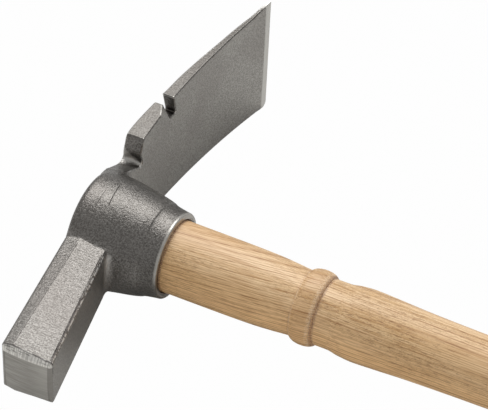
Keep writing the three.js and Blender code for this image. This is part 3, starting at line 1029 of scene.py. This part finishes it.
def handle_stations():
    """Closer together where the profile turns: the top, the bead and the butt."""
    top = [HANDLE_TOP_X, HANDLE_TOP_X + TOP_CHAMFER]
    tenon = np.linspace(HANDLE_TOP_X + 4, EYE_MOUTH_X, 16)
    before_bead = np.linspace(EYE_MOUTH_X + 1, BEAD_START - 0.5, 48)
    bead = BEAD_MIDDLE - BEAD_HALF * np.cos(np.linspace(0, np.pi, 33))
    butt = BUTT_X - BUTT_CURVE * np.linspace(1, 0, 30) ** 2
    after_bead = np.linspace(BEAD_END + 0.5, butt[0] - 1, 160)
    return np.concatenate([top, tenon, before_bead, bead, after_bead, butt])


def turned(name, stations, radii, segments, sharp_angle):
    """A solid turned about the handle's axis, closed with a flat disc at each end."""
    angle = np.arange(segments) * 2 * np.pi / segments
    rings = np.empty((len(stations), segments, 3))
    rings[..., 0] = stations[:, None]
    rings[..., 1] = radii[:, None] * np.cos(angle)
    rings[..., 2] = radii[:, None] * np.sin(angle)
    faces = [list(range(segments))[::-1]]
    for i in range(len(stations) - 1):
        for j in range(segments):
            k = (j + 1) % segments
            row, above = i * segments, (i + 1) * segments
            faces.append([row + j, row + k, above + k, above + j])
    faces.append([(len(stations) - 1) * segments + j for j in range(segments)])
    return mesh_object(name, rings.reshape(-1, 3), faces, sharp_angle)


def cut_away(piece, cutters):
    """Takes the cutters out of the piece and removes them."""
    for cutter in cutters:
        modifier = piece.modifiers.new("cut", "BOOLEAN")
        modifier.operation = "DIFFERENCE"
        modifier.solver = "EXACT"
        modifier.object = cutter
    bpy.context.view_layer.update()
    shape = piece.evaluated_get(bpy.context.evaluated_depsgraph_get())
    mesh = bpy.data.meshes.new_from_object(shape)
    piece.modifiers.clear()
    piece.data = mesh
    for cutter in cutters:
        bpy.data.objects.remove(cutter)


# ---------- wedges ----------
def wedge(name, size, across_z, offset=0.0, clearance=0.0):
    """A wedge pointing down the eye. A pocket for it is larger all round and open at the top."""
    back = HANDLE_TOP_X - WEDGE_PROUD - (POCKET_RISE if clearance else 0)
    front = HANDLE_TOP_X - WEDGE_PROUD + size["depth"] + clearance
    half_width = size["width"] / 2 + clearance
    mesh = bmesh.new()
    ends = []
    for x, thick in ((back, size["thick"]), (front, size["thin"])):
        half = thick / 2 + clearance
        ring = []
        for a, b in ((-half, -half_width), (half, -half_width), (half, half_width), (-half, half_width)):
            y, z = (a + offset, b) if across_z else (b, a + offset)
            ring.append(mesh.verts.new(Vector((x, y, z)) * MM + AXIS))
        ends.append(ring)
    mesh.faces.new(ends[0])
    mesh.faces.new(ends[1][::-1])
    for i in range(4):
        j = (i + 1) % 4
        mesh.faces.new([ends[0][j], ends[0][i], ends[1][i], ends[1][j]])
    bmesh.ops.recalc_face_normals(mesh, faces=mesh.faces)
    if not clearance:
        bmesh.ops.bevel(mesh, geom=mesh.edges[:], offset=WEDGE_EDGE * MM, segments=2, affect="EDGES",
                        profile=0.5)
    data = bpy.data.meshes.new(name)
    mesh.to_mesh(data)
    mesh.free()
    return add_object(name, data)


def steel_pockets():
    """Pockets for the steel wedges."""
    return [wedge("pocket", STEEL_WEDGE, True, y, FIT_GAP) for y in STEEL_WEDGE_PLACES]


def make_handle_and_wedges():
    stations = handle_stations()
    handle = turned("turned_handle", stations, handle_radius(stations), TURNED_SEGMENTS, TURNED_SHARP)
    wooden = wedge("sawn_wooden_wedge", WOODEN_WEDGE, across_z=False)
    cut_away(handle, [wedge("pocket", WOODEN_WEDGE, False, clearance=FIT_GAP), *steel_pockets()])
    cut_away(wooden, steel_pockets())
    handle.data.materials.append(ash_wood())
    wooden.data.materials.append(wedge_wood())
    steel = wedge_steel()
    wedges = []
    for i, y in enumerate(STEEL_WEDGE_PLACES, 1):
        piece = wedge(f"driven_steel_wedge_{i}", STEEL_WEDGE, True, y)
        piece.data.materials.append(steel)
        wedges.append(piece)
    return handle, wooden, wedges


# ---------- stage ----------
def look_along(azimuth, elevation, roll=0):
    """Right, up and back of a camera or light that looks from that azimuth and elevation."""
    a, e, r = (math.radians(v) for v in (azimuth, elevation, roll))
    back = Vector((math.sin(a) * math.cos(e), -math.cos(a) * math.cos(e), math.sin(e)))
    right = Vector((math.cos(a), math.sin(a), 0))
    up = back.cross(right)
    turned_right = math.cos(r) * right + math.sin(r) * up
    turned_up = -math.sin(r) * right + math.cos(r) * up
    return Matrix((turned_right, turned_up, back)).transposed()


def make_camera():
    camera = add_object("camera", bpy.data.cameras.new("camera"))
    camera.data.lens = CAMERA_LENS
    camera.data.sensor_width = 36
    camera.data.clip_start = 0.01
    axes = look_along(CAMERA_AZIMUTH, CAMERA_ELEVATION, CAMERA_ROLL)
    aim = Vector(CAMERA_AIM) * MM
    camera.matrix_world = Matrix.Translation(aim + axes.col[2] * CAMERA_DISTANCE * MM) @ axes.to_4x4()
    bpy.context.scene.camera = camera


def area_light(name, azimuth, elevation, distance, size, power):
    """A softbox that shines at the handle's axis in the head; distance and size are in metres."""
    light = bpy.data.lights.new(name, "AREA")
    light.shape = "RECTANGLE"
    light.size, light.size_y = size
    light.energy = power
    piece = add_object(name, light)
    axes = look_along(azimuth, elevation)
    piece.matrix_world = Matrix.Translation(AXIS + axes.col[2] * distance) @ axes.to_4x4()


def make_world():
    """A soft studio: light overhead, dim towards the floor."""
    world = bpy.data.worlds.new("studio")
    bpy.context.scene.world = world
    world.use_nodes = True
    tree = world.node_tree
    direction = tree.nodes.new("ShaderNodeTexCoord")
    split = tree.nodes.new("ShaderNodeSeparateXYZ")
    ramp = tree.nodes.new("ShaderNodeValToRGB")
    height = tree.nodes.new("ShaderNodeMath")
    height.operation = "MULTIPLY_ADD"
    height.inputs[1].default_value = 0.5
    height.inputs[2].default_value = 0.5
    tree.links.new(direction.outputs["Generated"], split.inputs[0])
    tree.links.new(split.outputs["Z"], height.inputs[0])
    tree.links.new(height.outputs[0], ramp.inputs[0])
    elements = ramp.color_ramp.elements
    while len(elements) < len(WORLD_STOPS):
        elements.new(0.5)
    for element, (place, level) in zip(elements, WORLD_STOPS):
        element.position = place
        element.color = (level, level, level, 1)
    tree.links.new(ramp.outputs[0], tree.nodes["Background"].inputs["Color"])


def floor_sheet(name, drop, material):
    half = FLOOR_SIZE / 2
    mesh = bpy.data.meshes.new(name)
    corners = [(-half, -half, drop), (half, -half, drop), (half, half, drop), (-half, half, drop)]
    mesh.from_pydata(corners, [], [(0, 1, 2, 3)])
    mesh.materials.append(material)
    piece = add_object(name, mesh)
    return piece


def make_floor():
    """A pale floor under the lowest point. What shows is nearly white; what lights the hammer is
    a separate plain sheet, so that its soft shadow stays out of sight."""
    level = cad_box[0][2] - FLOOR_GAP * MM
    white = Graph("floor_white")
    glow = white.add("Emission", Color=(1, 1, 1, 1), Strength=0.99)
    seen = floor_sheet("floor", level, white.show(glow))
    seen.visible_diffuse = False
    seen.visible_glossy = False
    seen.visible_shadow = False
    grey = Graph("floor_grey")
    lit = grey.finish({"Roughness": 1.0, "Base Color": (0.66, 0.66, 0.65, 1), "Specular IOR Level": 0.0})
    bounce = floor_sheet("floor_bounce", level - BOUNCE_GAP * MM, lit)
    bounce.visible_camera = False


head = make_head(forged_steel())
handle, wooden_wedge, steel_wedges = make_handle_and_wedges()

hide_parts("hammer_head")
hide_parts("handle")
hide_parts("wooden_wedge")
for number, piece in enumerate(steel_wedges, 1):
    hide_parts(f"steel_wedge_{number}")
for piece in [head, handle, wooden_wedge, *steel_wedges]:
    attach(piece, "root")

make_camera()
make_world()
make_floor()
area_light("top_light", **TOP_LIGHT)
bpy.context.scene.view_settings.view_transform = "Standard"
